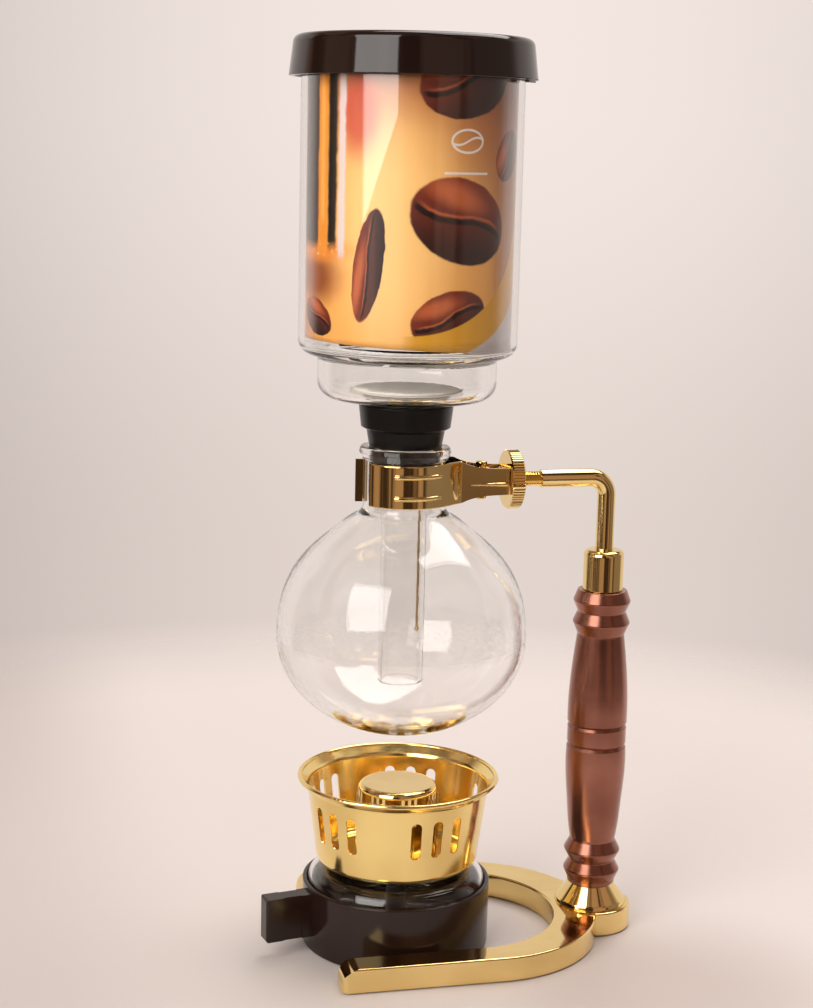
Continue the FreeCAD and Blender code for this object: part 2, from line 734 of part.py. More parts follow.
def upper_bowl():
    under = stopper_top + floor_rise
    floor = under + bowl_wall
    wide = bowl_floor_z
    inner_step = step_radius - bowl_wall
    return turned([
        place(tube_bore, tube_bottom, 0.5), place(tube_radius, tube_bottom, 0.5),
        place(tube_radius, under - 0.6, 2.4), place(20.0, under), place(step_radius, under + 2.2, 6.5),
        place(step_radius, wide - 0.6, 1.6), place(bowl_radius, wide, 5.5),
        place(bowl_radius, bowl_top, 0.9), place(bowl_inner, bowl_top, 0.9),
        place(bowl_inner, wide + bowl_wall, 1.6), place(inner_step, wide + bowl_wall - 0.6, 2.2),
        place(inner_step, floor + 2.0, 4.6), place(20.0, floor), place(tube_bore, floor - 0.6, 3.4)])


def paper_insert():
    outer = bowl_inner - paper_gap
    low = bowl_floor_z + bowl_wall
    high = bowl_top - paper_top_gap
    roll = cylinder(outer, low, high).cut(cylinder(outer - paper_thickness, low, high))
    half = paper_seam / 2
    roll = roll.cut(sector(90 - half, 90 + half, 2 * outer, low, high))
    below = box(-60, 60, -60, 60, -50, 0)
    turned_by(below, paper_tilt, axis=Vector(0, 1, 0))
    return roll.cut(moved(below, z=low + paper_rise))


def lid():
    top = overall_height
    foot = top - lid_height
    under = top - lid_plate
    ring = bowl_inner - paper_gap - paper_thickness - lid_ring_gap
    ring_foot = under - lid_ring_depth
    shell = turned([
        place(0, top), place(lid_top_radius, top, lid_edge_round), place(lid_radius, foot, 0.4),
        place(lid_radius - lid_wall, foot, 0.4), place(lid_top_radius - lid_wall, under, 1.2),
        place(ring, under), place(ring, ring_foot, 0.4), place(ring - lid_ring_wall, ring_foot, 0.4),
        place(ring - lid_ring_wall, under), place(0, under)])
    tab = cylinder(lid_radius - 0.3, foot - lid_tab_drop, foot + 1)
    tab = tab.cut(cylinder(lid_radius - lid_wall + 0.2, foot - 2, foot + 2))
    half = lid_tab_span / 2
    tab = tab.common(sector(lid_tab_angle - half, lid_tab_angle + half, 2 * lid_radius, foot - 2, foot + 2))
    return shell.fuse(tab).removeSplitter()


def perforated(z):
    plate = cylinder(filter_radius, z, z + filter_plate_thickness)
    holes = [cylinder(filter_hole_radius, z - 1, z + 2, *spot) for spot in hole_places()]
    return plate.cut(Part.makeCompound(holes))


def hole_places():
    spots = []
    for ring, count in ((6.0, 6), (10.5, 12), (15.0, 18)):
        for i in range(count):
            angle = 2 * math.pi * i / count
            spots.append((ring * math.cos(angle), ring * math.sin(angle)))
    return spots


def filter_cloth():
    """Cloth stretched over the disc and gathered round its edge."""
    bottom = filter_floor
    cloth = bottom + filter_plate_thickness
    top = cloth + filter_cloth_thickness
    wrap = 0.8
    return turned([
        place(0, cloth), place(filter_radius, cloth), place(filter_radius, bottom - 0.2),
        place(filter_radius + wrap, bottom - 0.2, 0.3), place(filter_radius + wrap, top, 0.6),
        place(filter_radius - 1.0, top), place(0, top)])


def filter_spring():
    """Coil spring under the disc, inside the siphon tube's mouth."""
    low = filter_floor - spring_length
    helix = Part.makeHelix(spring_pitch, spring_length - 2 * spring_wire_radius, spring_radius)
    section = Part.Wire(Part.makeCircle(spring_wire_radius, Vector(spring_radius, 0, 0), Vector(0, 1, 0)))
    coil = Part.Wire(helix).makePipeShell([section], True, True)
    return moved(coil, z=low + spring_wire_radius)


def filter_stem():
    """Wire that hooks the spring at its foot and hangs down the tube beside the wall."""
    start = filter_floor - spring_length
    arm_angle = math.radians(-13.5)
    side = Vector(stem_offset * math.cos(arm_angle), stem_offset * math.sin(arm_angle), 0)
    places = [Vector(0, 0, start), Vector(0, 0, start - 3), side + Vector(0, 0, start - 12),
              side + Vector(0, 0, stem_bottom)]
    pieces = []
    for a, b in zip(places, places[1:]):
        pieces.append(Part.makeCylinder(stem_radius, (b - a).Length, a, b - a))
    for joint in places[1:-1]:
        pieces.append(Part.makeSphere(stem_radius, joint))
    pieces.append(Part.makeSphere(2 * stem_radius, places[-1]))
    pieces.append(cylinder(spring_radius + spring_wire_radius, start - 0.6, start))
    return pieces[0].fuse(pieces[1:]).removeSplitter()


def burner_base():
    inner = burner_radius - burner_wall
    cup = turned([
        place(0, 0), place(burner_radius - 0.2, 0, 0.8), place(burner_radius, burner_height, 0.6),
        place(inner, burner_height, 0.3), place(inner, burner_floor, 0.6), place(0, burner_floor)])
    half = grip_width / 2
    grip = box(inner + 0.6, grip_reach, -half, half, grip_bottom, grip_top)
    ends = [e for e in grip.Edges if abs(e.BoundBox.XMin - grip_reach) < 1e-6]
    grip = grip.makeFillet(0.9, ends)
    for side in (-1, 1):
        waist = box(burner_radius + 4.0, grip_reach - 7.0, half - 0.5, half + 1, grip_bottom - 1, grip_top + 1)
        if side < 0:
            waist = waist.mirror(Vector(0, 0, 0), Vector(0, 1, 0))
        grip = grip.cut(waist)
    turned_by(grip, grip_turn)
    return cup.fuse(grip).removeSplitter()


def burner_pad():
    outer = reservoir_radius - 4
    return cylinder(outer, burner_floor, burner_floor + burner_pad_thickness).cut(cylinder(outer - 8, 0, 10))


def fuel_reservoir():
    low = reservoir_foot
    outer = reservoir_radius
    wall = reservoir_wall
    top = reservoir_top
    mouth = holder_mouth
    return turned([
        place(0, low), place(outer, low, 4.0), place(outer, top - 3.0, shoulder_round),
        place(reservoir_neck_radius + 6, top, 2.0), place(mouth, top, 0.6), place(mouth, top - wall, 0.6),
        place(reservoir_neck_radius + 6, top - wall, 2.0), place(outer - wall, top - 3.0 - wall, shoulder_round - 2),
        place(outer - wall, low + wall, 2.5), place(0, low + wall)])


def wick_holder():
    """Flanged brass tube that clamps the wind guard to the reservoir's mouth."""
    seat = flange_seat
    mouth = holder_mouth - 0.2
    return turned([
        place(wick_radius, seat - 8), place(holder_tube_radius, seat - 8), place(holder_tube_radius, seat - 5),
        place(mouth, seat - 5), place(mouth, seat), place(holder_flange_radius, seat),
        place(holder_flange_radius, seat + holder_flange, 0.3), place(holder_tube_radius, seat + holder_flange),
        place(holder_tube_radius, holder_tube_top, 0.3), place(wick_radius, holder_tube_top)])


def wick():
    low = reservoir_foot + reservoir_wall + 1.5
    return turned([place(0, low), place(wick_radius, low, 0.8), place(wick_radius, wick_top, 1.4), place(0, wick_top)])


def wind_guard():
    low, sheet, rim = reservoir_top, guard_sheet, guard_rim_radius
    mouth = holder_mouth
    flat = guard_foot_radius - 1.2
    wall = burner_radius - guard_wall_inset
    lip = guard_rim_z - guard_lip_height
    body = turned([
        place(mouth, low), place(flat, low, guard_foot_round), place(wall, lip, 2.0), place(rim, guard_rim_z),
        place(rim - 1.4 * sheet, guard_rim_z), place(wall - sheet, lip + 0.4 * sheet, 2.0 + sheet),
        place(flat - sheet, low + sheet, guard_foot_round - sheet), place(mouth, low + sheet)])
    bead_ring = Part.makeTorus(rim - 0.1, guard_bead_radius, Vector(0, 0, guard_rim_z))
    body = body.fuse(bead_ring)
    return body.cut(Part.makeCompound([slot_cutter(angle) for angle in slot_angles()])).removeSplitter()


def slot_angles():
    spacing = 360.0 / slot_groups
    angles = []
    for group in range(slot_groups):
        for k in range(slots_per_group):
            shift = (k - (slots_per_group - 1) / 2) * slot_pitch
            angles.append(slot_first + group * spacing + shift)
    return angles


def slot_cutter(angle):
    half = slot_width / 2
    depth = guard_rim_radius
    flat = box(guard_foot_radius - 8, depth + 5, -half, half, slot_bottom + half, slot_top - half)
    ends = [Part.makeCylinder(half, depth + 13 - guard_foot_radius, Vector(guard_foot_radius - 8, 0, z), Vector(1, 0, 0))
            for z in (slot_bottom + half, slot_top - half)]
    return turned_by(flat.fuse(ends), angle)


def snuffer_cap():
    shell = turned([
        place(0, cap_top), place(cap_radius, cap_top, cap_edge_round), place(cap_radius, cap_bottom),
        place(cap_radius - cap_wall, cap_bottom), place(cap_radius - cap_wall, cap_top - cap_wall, cap_edge_round - cap_wall),
        place(0, cap_top - cap_wall)])
    spacing = 360.0 / cap_rib_groups
    rib_low = cap_bottom + 2.0
    rib_high = cap_top - cap_edge_round - 2.0
    ribs = []
    for group in range(cap_rib_groups):
        for k in range(cap_ribs_per_group):
            angle = math.radians(cap_rib_first + group * spacing + (k - 1) * cap_rib_pitch)
            reach = cap_radius - 0.25
            ribs.append(cylinder(cap_rib_radius, rib_low, rib_high, reach * math.cos(angle), reach * math.sin(angle)))
    inside = cylinder(cap_radius - cap_wall, cap_bottom - 1, cap_top - cap_wall - 2)
    return shell.fuse([rib.cut(inside) for rib in ribs]).removeSplitter()


def main():
    os.makedirs("parts", exist_ok=True)
    pieces = {
        "stand_base": stand_base, "foot_pads": foot_pads, "base_cone": base_cone,
        "handle_grip": handle_grip, "handle_collar": handle_collar, "tie_bolt": tie_bolt,
        "tie_washer": tie_washer, "support_rod": support_rod, "pivot_pin": pivot_pin,
        "front_jaw": front_jaw, "rear_jaw": rear_jaw, "cone_washer": cone_washer, "thumb_nut": thumb_nut,
        "flask": flask, "stopper": stopper, "upper_bowl": upper_bowl, "paper_insert": paper_insert,
        "lid": lid, "filter_cloth": filter_cloth, "filter_spring": filter_spring, "filter_stem": filter_stem,
        "burner_base": burner_base, "burner_pad": burner_pad, "fuel_reservoir": fuel_reservoir,
        "wick_holder": wick_holder, "wick": wick, "wind_guard": wind_guard, "snuffer_cap": snuffer_cap}
    for name, make in pieces.items():
        save(name, make())
    save("filter_disc", perforated(filter_floor))


main()
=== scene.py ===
import math
import random
import bmesh
import bpy
from mathutils import Matrix, Vector


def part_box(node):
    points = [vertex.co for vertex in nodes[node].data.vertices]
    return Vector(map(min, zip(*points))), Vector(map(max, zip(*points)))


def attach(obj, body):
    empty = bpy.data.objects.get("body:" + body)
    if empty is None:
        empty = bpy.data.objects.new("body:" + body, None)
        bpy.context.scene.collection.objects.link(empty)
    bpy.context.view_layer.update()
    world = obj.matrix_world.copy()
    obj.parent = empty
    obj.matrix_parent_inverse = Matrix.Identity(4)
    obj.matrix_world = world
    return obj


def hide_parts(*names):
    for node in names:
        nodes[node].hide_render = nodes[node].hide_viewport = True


# Table-top siphon brewer. Metres, +Z up, +X from the flask's axis to the post.
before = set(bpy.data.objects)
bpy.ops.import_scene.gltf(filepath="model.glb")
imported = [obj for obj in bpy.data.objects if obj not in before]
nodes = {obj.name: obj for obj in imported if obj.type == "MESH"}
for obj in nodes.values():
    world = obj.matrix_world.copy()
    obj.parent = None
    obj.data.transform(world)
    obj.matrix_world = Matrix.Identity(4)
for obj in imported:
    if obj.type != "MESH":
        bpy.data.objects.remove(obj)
bpy.context.view_layer.update()
mm = 0.001
frontTurn = 103.5  # degrees from the side that faces the camera round to +X
random.seed(3)


class Wire:
    def __init__(self, finish, socket):
        self.finish = finish
        self.socket = socket

    def math(self, operation, *values):
        return self.finish.node("ShaderNodeMath", {"operation": operation}, dict(enumerate(values)))

    def other(self, name):
        return Wire(self.finish, self.socket.node.outputs[name])

    def __add__(self, value):
        return self.math("ADD", self, value)

    def __radd__(self, value):
        return self.math("ADD", value, self)

    def __sub__(self, value):
        return self.math("SUBTRACT", self, value)

    def __rsub__(self, value):
        return self.math("SUBTRACT", value, self)

    def __mul__(self, value):
        return self.math("MULTIPLY", self, value)

    def __rmul__(self, value):
        return self.math("MULTIPLY", value, self)

    def __truediv__(self, value):
        return self.math("DIVIDE", self, value)

    def __rtruediv__(self, value):
        return self.math("DIVIDE", value, self)

    def __pow__(self, value):
        return self.math("POWER", self, value)


class Finish:
    def __init__(self, name, tree=None):
        self.material = None
        if tree is None:
            self.material = bpy.data.materials.new(name)
            self.material.use_nodes = True
            tree = self.material.node_tree
        self.tree = tree
        tree.nodes.clear()

    def node(self, kind, settings=None, values=None, output=0):
        made = self.tree.nodes.new(kind)
        for key, value in (settings or {}).items():
            setattr(made, key, value)
        for key, value in (values or {}).items():
            target = made.inputs[key]
            if isinstance(value, Wire):
                self.tree.links.new(value.socket, target)
            elif target.type == "RGBA":
                target.default_value = (*value, 1.0)
            else:
                target.default_value = value
        return Wire(self, made.outputs[output])

    def coords(self):
        return self.node("ShaderNodeTexCoord", output="Object")

    def axes(self, vector):
        x = self.node("ShaderNodeSeparateXYZ", {}, {0: vector})
        return x, x.other("Y"), x.other("Z")

    def noise(self, vector, scale, detail=2.0, roughness=0.5):
        return self.node("ShaderNodeTexNoise", {}, {
            "Vector": vector, "Scale": scale, "Detail": detail, "Roughness": roughness})

    def stretched(self, vector, scale):
        return self.node("ShaderNodeMapping", {}, {"Vector": vector, "Scale": scale})

    def step(self, value, low, high):
        return self.node("ShaderNodeMapRange", {"interpolation_type": "SMOOTHSTEP"}, {
            "Value": value, "From Min": low, "From Max": high})

    def band(self, value, low, high, soft):
        return self.step(value, low - soft, low + soft) * self.step(value, high + soft, high - soft)

    def blend(self, factor, below, above, mode="MIX"):
        return self.node("ShaderNodeMix", {"data_type": "RGBA", "blend_type": mode},
                         {0: factor, 6: below, 7: above}, output=2)

    def bump(self, height, strength, distance, under=None):
        values = {"Strength": strength, "Distance": distance, "Height": height}
        if under is not None:
            values["Normal"] = under
        return self.node("ShaderNodeBump", {}, values)

    def principled(self, values):
        return self.node("ShaderNodeBsdfPrincipled", {}, values)

    def show(self, shader):
        output = self.tree.nodes.new("ShaderNodeOutputMaterial")
        self.tree.links.new(shader.socket, output.inputs["Surface"])
        return self.material


def shade(code):
    # linear colour from a six-figure hex code
    parts = [int(code[i:i + 2], 16) / 255 for i in (0, 2, 4)]
    return tuple(p / 12.92 if p <= 0.04045 else ((p + 0.055) / 1.055) ** 2.4 for p in parts)


def plating(name, look):
    finish = Finish(name)
    place = finish.coords()
    cloud = finish.noise(place, look["cloud"], 3.0)
    grain = finish.noise(place, look["grain"], 6.0, 0.62)
    colour = finish.blend(finish.step(cloud, 0.32, 0.68), look["deep"], look["bright"])
    rough = look["rough"] + cloud * look["roughSpread"] + finish.step(grain, 0.62, 0.8) * look["speck"]
    normal = finish.bump(grain, look["bump"], 0.0002)
    return finish.show(finish.principled({
        "Base Color": colour, "Metallic": 1.0, "Roughness": rough, "Normal": normal}))


goldLook = {"deep": (0.84, 0.63, 0.26), "bright": (0.93, 0.71, 0.31), "rough": 0.045, "roughSpread": 0.05,
            "speck": 0.05, "cloud": 38.0, "grain": 1400.0, "bump": 0.012}
goldPlate = plating("goldPlate", goldLook)
goldSatin = plating("goldSatin", {**goldLook, "deep": (0.93, 0.70, 0.27), "bright": (1.0, 0.78, 0.32),
                                  "rough": 0.11, "roughSpread": 0.08, "bump": 0.03})
turnedBrass = plating("turnedBrass", {**goldLook, "deep": (0.60, 0.40, 0.15), "bright": (0.74, 0.53, 0.22),
                                      "rough": 0.22, "bump": 0.05})
springSteel = plating("springSteel", {**goldLook, "deep": (0.52, 0.51, 0.50), "bright": (0.66, 0.65, 0.64),
                                      "rough": 0.20, "roughSpread": 0.1, "bump": 0.04})


def handleLacquer():
    look = {"deep": (0.23, 0.083, 0.052), "bright": (0.35, 0.142, 0.097), "rough": 0.18}
    finish = Finish("copperBrown")
    place = finish.coords()
    rings = finish.noise(finish.stretched(place, (12.0, 12.0, 2600.0)), 1.0, 3.0)
    flake = finish.noise(place, 5200.0, 2.0, 0.7)
    cloud = finish.noise(place, 55.0, 3.0)
    colour = finish.blend(finish.step(cloud, 0.3, 0.7) * 0.7 + rings * 0.3, look["deep"], look["bright"])
    rough = look["rough"] + rings * 0.07 + flake * 0.06
    normal = finish.bump(rings, 0.03, 0.0002, finish.bump(flake, 0.05, 0.0001))
    return finish.show(finish.principled({
        "Base Color": colour, "Metallic": 0.92, "Roughness": rough, "Normal": normal,
        "Coat Weight": 0.25, "Coat Roughness": 0.12}))


def mouldedPlastic(name, look):
    finish = Finish(name)
    place = finish.coords()
    cloud = finish.noise(place, 24.0, 3.0)
    grain = finish.noise(place, look["grain"], 4.0, 0.6)
    colour = finish.blend(cloud, look["deep"], look["bright"])
    rough = look["rough"] + cloud * look["roughSpread"] + finish.step(grain, 0.6, 0.85) * 0.08
    swell = finish.bump(finish.noise(place, 60.0, 1.0), 0.04, 0.0004)
    normal = finish.bump(grain, look["bump"], 0.0002, swell)
    return finish.show(finish.principled({
        "Base Color": colour, "Roughness": rough, "Normal": normal, "IOR": look["ior"]}))


glossBrown = mouldedPlastic("glossBrown", {
    "deep": (0.010, 0.0042, 0.0030), "bright": (0.017, 0.0072, 0.0052), "rough": 0.04, "roughSpread": 0.06,
    "grain": 1600.0, "bump": 0.02, "ior": 1.5})
burnerBrown = mouldedPlastic("burnerBrown", {
    "deep": (0.012, 0.0046, 0.0030), "bright": (0.024, 0.0100, 0.0070), "rough": 0.13, "roughSpread": 0.1,
    "grain": 1300.0, "bump": 0.04, "ior": 1.42})
stopperRubber = mouldedPlastic("stopperRubber", {
    "deep": (0.0030, 0.0022, 0.0019), "bright": (0.0062, 0.0048, 0.0042), "rough": 0.24, "roughSpread": 0.12,
    "grain": 900.0, "bump": 0.08, "ior": 1.32})
padRubber = mouldedPlastic("padRubber", {
    "deep": (0.02, 0.018, 0.017), "bright": (0.045, 0.041, 0.038), "rough": 0.62, "roughSpread": 0.15,
    "grain": 1500.0, "bump": 0.3, "ior": 1.5})


def clearGlass(name, tint, waviness):
    finish = Finish(name)
    place = finish.coords()
    swell = finish.noise(finish.stretched(place, (1.0, 1.0, 0.55)), 26.0, 1.0)
    glass = finish.principled({
        "Base Color": tint, "Roughness": 0.0, "IOR": 1.47, "Transmission Weight": 1.0,
        "Normal": finish.bump(swell, waviness, 0.0006)})
    passing = finish.node("ShaderNodeBsdfTransparent", {}, {"Color": (0.93, 0.93, 0.92)})
    lamp = finish.node("ShaderNodeLightPath", output="Is Shadow Ray")
    return finish.show(finish.node("ShaderNodeMixShader", {}, {0: lamp, 1: glass, 2: passing}))


flaskGlass = clearGlass("flaskGlass", (0.985, 0.985, 0.98), 0.12)
bowlGlass = clearGlass("bowlGlass", (0.985, 0.985, 0.98), 0.08)
reservoirGlass = clearGlass("reservoirGlass", (0.955, 0.955, 0.95), 0.2)


copperBrown = handleLacquer()
carriedMaterials = [
    # better finishes on the CAD nodes that stay
    (goldPlate, ["stand_base", "base_cone", "handle_collar", "support_rod", "pivot_pin", "front_jaw",
                 "rear_jaw", "cone_washer", "thumb_nut", "snuffer_cap"]),
    (goldSatin, ["wind_guard"]), (turnedBrass, ["wick_holder", "filter_stem"]),
    (springSteel, ["filter_disc", "filter_spring", "tie_bolt", "tie_washer"]),
    (copperBrown, ["handle_grip"]), (glossBrown, ["lid"]), (burnerBrown, ["burner_base"]),
    (stopperRubber, ["stopper"]), (padRubber, ["foot_pads", "burner_pad"]),
    (flaskGlass, ["flask"]), (bowlGlass, ["upper_bowl"]), (reservoirGlass, ["fuel_reservoir"])]
for material, members in carriedMaterials:
    for member in members:
        for place in nodes[member].material_slots:
            place.material = material
print("finishes:", len(bpy.data.materials))


def newPiece(name, mesh, body, materials, smooth=True):
    data = bpy.data.meshes.new(name)
    mesh.to_mesh(data)
    mesh.free()
    for face in data.polygons:
        face.use_smooth = smooth
    for material in materials:
        data.materials.append(material)
    piece = bpy.data.objects.new(name, data)
    bpy.context.scene.collection.objects.link(piece)
    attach(piece, body)
    return piece


# A plain amber print of soft lights, stripes and coffee beans, in millimetres along and up the sheet.
printLook = {
    # middle, two radii, softness, colour and strength
    "lights": [
        (-4, 42, 17, 38, 0.6, "fbc87e", 0.9), (4, 102, 26, 16, 0.7, "b06a3a", 0.6),
        (34, 78, 15, 26, 0.7, "a85a32", 0.6), (46, 52, 12, 64, 0.6, "9c5b3c", 0.75),
        (-19, 84, 7, 14, 0.5, "c4442c", 0.85), (-40, 26, 13, 9, 0.6, "7c2a14", 0.85),
        (-47, 8, 7, 6, 0.7, "a8501f", 0.7), (-36, 36, 13, 4, 0.6, "e2832f", 0.85)],
    # middle, half width, foot, softness, colour and strength
    "stripes": [
        (-43.6, 6.8, 37, 0.9, "1a0d0a", 1.0), (-50.2, 1.0, 40, 0.6, "9a2a20", 0.9),
        (-35.0, 2.6, 34, 0.7, "e8912f", 1.0), (-35.0, 1.0, 46, 0.8, "ffb75c", 0.7),
        (-30.0, 2.1, 37, 0.7, "15110c", 1.0), (-25.6, 1.4, 34, 0.6, "d9c9c8", 0.95)],
    # middle, two radii and turn in degrees
    "beans": [
        (20, 95, 18, 12.5, 14), (18.5, 47, 19.5, 14.5, -22), (15, 13, 14.5, 9.5, 16),
        (-14.6, 31, 20, 5.6, 82), (40, 70, 9.5, 6.5, 64), (-38, 12, 9, 6, -30)],
    "ground": ("eaa552", "f0b468", "b8743f"), "shell": ("2a110c", "7e2f1a"), "lift": "c8683a", "seam": "140706",
    "seamBow": 0.16, "glints": (-36, 36, 12, 2.4), "glint": "ffe9c0",
    # a round's middle and radius, and its colour
    "rounds": [(0.0, 55.0, 48.0, "d79b27"), (5.0, 52.0, 53.5, "cbc1c2")],
    "emblem": (20.0, 74.6, 6.4, 4.3), "emblemLine": 0.8, "emblemWhite": "eee6e0",
    "rule": (8.5, 11.0, 0.4), "wander": (1.5, 1.3), "blur": (210.0, 260.0)}


def printedFinish(look):
    finish = Finish("printedSheet")
    place = finish.coords()
    x, y, z = finish.axes(place)
    turn = finish.node("ShaderNodeMath", {"operation": "ARCTAN2"}, {0: y, 1: x}) + math.radians(frontTurn)
    half = math.pi / 2  # the picture is printed twice round the roll
    turn = finish.node("ShaderNodeMath", {"operation": "WRAP"}, {0: turn, 1: half, 2: -half})
    along = turn * look["radius"] / mm
    up = (z - look["foot"]) / mm
    blur, blurUp = (finish.noise(place, scale, 4.0, 0.6) for scale in look["blur"])
    s = along + (blur - 0.5) * look["wander"][0]
    h = up + (blurUp - 0.5) * look["wander"][1]
    band, step, blend = finish.band, finish.step, finish.blend

    def oval(s, h, cx, cz, rx, rz):
        return (((s - cx) / rx) ** 2 + ((h - cz) / rz) ** 2) ** 0.5

    def lit(colour, code, mask):
        return blend(mask, colour, shade(code))

    low, middle, high = (shade(code) for code in look["ground"])
    colour = blend(step(h, 55, 100), blend(step(h, 0, 62), low, middle), high)
    for cx, cz, rx, rz, soft, code, strength in look["lights"]:
        colour = lit(colour, code, step(oval(s, h, cx, cz, rx, rz), 1 + soft, 1 - soft) * strength)
    for middle, width, foot, soft, code, strength in look["stripes"]:
        stripe = band(s, middle - width, middle + width, soft) * step(h, foot - 2.5, foot + 2.5)
        colour = lit(colour, code, stripe * strength)
    streak = finish.noise(finish.stretched(place, (1.0, 1.0, 0.03)), 640.0, 3.0)
    colour = blend(step(streak, 0.56, 0.66) * step(s, -36.0, -38.0) * 0.3, colour, shade("6b4a2c"))
    colour = blend(step(streak, 0.35, 0.7) * step(s, 30.0, 40.0) * 0.35, colour, shade("5e3330"))
    for cx, cz, rx, rz, degrees in look["beans"]:
        # each bean waits for the colour so far, which keeps few values in use at once
        s, h = s + colour * 1e-6, h + colour * 1e-6
        cos, sin = math.cos(math.radians(degrees)), math.sin(math.radians(degrees))
        u = ((s - cx) * cos + (h - cz) * sin) / rx
        v = ((h - cz) * cos - (s - cx) * sin) / rz
        reach = (u ** 2 + v ** 2) ** 0.5
        body = step(reach, 1.03, 0.97)
        split = v - finish.node("ShaderNodeMath", {"operation": "SINE"}, {0: u * 3.0}) * look["seamBow"]
        shell = blend(step(v - u * 0.4, -0.9, 1.1), *(shade(code) for code in look["shell"]))
        shell = lit(shell, look["lift"], step(oval(u, v, -0.25, 0.52, 0.6, 0.3), 1.5, 0.3) * 0.8)
        shell = lit(shell, look["lift"], band(split, 0.09, 0.15, 0.04) * step(reach, 0.95, 0.6) * 0.7)
        shell = lit(shell, look["seam"], band(split, -0.08, 0.06, 0.03) * step(reach, 1.0, 0.86))
        colour = blend(body, colour, shell)
    glint = step(finish.noise(place, 620.0, 2.0), 0.62, 0.72)
    colour = lit(colour, look["glint"], glint * step(oval(s, h, *look["glints"]), 1.3, 0.7) * 0.85)
    # gold sweep and plain corner at the lower right
    for cx, cz, radius, code in look["rounds"]:
        side = step(along, -4.0, 4.0) * step(up, 54.0, 50.0)
        colour = lit(colour, code, step(oval(along, up, cx, cz, 1, 1) - radius, -0.3, 0.3) * side)
    # plain bean emblem with a rule under it
    cx, cz, rx, rz = look["emblem"]
    outer = step(oval(along, up, cx, cz, rx, rz), 1.03, 0.97)
    line = look["emblemLine"]
    inner = step(oval(along, up, cx, cz, rx - line, rz - line), 1.04, 0.96)
    wave = finish.node("ShaderNodeMath", {"operation": "SINE"}, {0: (along - cx) * 0.42}) * 1.3
    seam = band(up - cz - wave, -line / 2, line / 2, 0.15) * outer
    reach, drop, half = look["rule"]
    rule = band(along, cx - reach, cx + reach, 0.15) * band(up, cz - drop - half, cz - drop + half, 0.15)
    mark = outer - inner + seam + rule
    colour = lit(colour, look["emblemWhite"], mark.math("MINIMUM", mark, 1.0) * 0.9)
    dots = finish.noise(place, 3800.0, 1.0)
    colour = blend(0.10, colour, dots.other("Color"), "OVERLAY")
    return finish.show(finish.principled({
        "Base Color": colour, "Roughness": 0.34 + blur * 0.06,
        "Normal": finish.bump(finish.noise(place, 240.0, 2.0), 0.05, 0.0003)}))


def plainPaper():
    finish = Finish("paperBack")
    place = finish.coords()
    fibre = finish.noise(finish.stretched(place, (1.0, 1.0, 0.4)), 1900.0, 4.0, 0.6)
    return finish.show(finish.principled({
        "Base Color": finish.blend(fibre, shade("e6e0d8"), shade("f6f2ea")), "Roughness": 0.75,
        "Normal": finish.bump(fibre, 0.12, 0.0002)}))


rollLook = {"tilt": 2.5, "seam": 4.0, "thickness": 0.35, "segments": 168, "rows": 12, "skirt": 0.004}


def printedRoll():
    low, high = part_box("paper_insert")
    radius = (high.x - low.x) / 2
    mesh = bmesh.new()
    seam = math.radians(rollLook["seam"])
    start = Vector((radius, 0, 0))
    start.rotate(Matrix.Rotation(math.pi / 2 + seam / 2, 3, "Z"))
    foot = mesh.verts.new((start.x, start.y, low.z - rollLook["skirt"]))
    head = mesh.verts.new((start.x, start.y, high.z))
    edge = mesh.edges.new((foot, head))
    bmesh.ops.subdivide_edges(mesh, edges=[edge], cuts=rollLook["rows"] - 1)
    bmesh.ops.spin(mesh, geom=mesh.verts[:] + mesh.edges[:], cent=(0, 0, 0), axis=(0, 0, 1),
                   angle=2 * math.pi - seam, steps=rollLook["segments"], use_merge=False)
    tilt = math.radians(rollLook["tilt"])
    normal = Matrix.Rotation(tilt, 3, "Y") @ Vector((0, 0, 1))
    middle = low.z + radius * math.tan(tilt)
    bmesh.ops.bisect_plane(mesh, geom=mesh.verts[:] + mesh.edges[:] + mesh.faces[:],
                           plane_co=(0, 0, middle), plane_no=normal, clear_inner=True)
    bmesh.ops.recalc_face_normals(mesh, faces=mesh.faces)
    outward = sum(face.normal.xy.dot(face.calc_center_median().xy) for face in mesh.faces)
    if outward < 0:
        bmesh.ops.reverse_faces(mesh, faces=mesh.faces)
    roll = newPiece("printedRoll", mesh, "upper", [
        printedFinish({**printLook, "radius": radius, "foot": low.z}), plainPaper()])
    wall = roll.modifiers.new("sheet", "SOLIDIFY")
    wall.thickness = rollLook["thickness"] * mm
    wall.offset = -1.0
    wall.material_offset = 1
    wall.material_offset_rim = 1
    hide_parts("paper_insert")
    print("printed roll: radius", round(radius / mm, 2), "mm")


def clothFinish(name, look):
    finish = Finish(name)
    place = finish.coords()
    x, y, z = finish.axes(place)
    weave = finish.node("ShaderNodeTexWave", {"bands_direction": "X"}, {
        "Vector": place, "Scale": look["weave"], "Distortion": 1.2, "Detail": 2.0})
    weft = finish.node("ShaderNodeTexWave", {"bands_direction": "Y"}, {
        "Vector": place, "Scale": look["weave"], "Distortion": 1.2, "Detail": 2.0})
    fluff = finish.noise(place, 1300.0, 5.0, 0.65)
    colour = finish.blend(fluff * 0.6 + weave * 0.2 + weft * 0.2, look["deep"], look["bright"])
    # darker below a set height: partly damp cotton, partly painted shade on the lower cloth
    colour = finish.blend(finish.step(z, look["dampShadeTop"], look["dampShadeFoot"]), colour, look["dampAndShade"])
    height = fluff * 0.6 + weave * weft
    return finish.show(finish.principled({
        "Base Color": colour, "Roughness": 0.85 + fluff * 0.1, "Sheen Weight": 0.3,
        "Normal": finish.bump(height, 0.45, 0.0003)}))


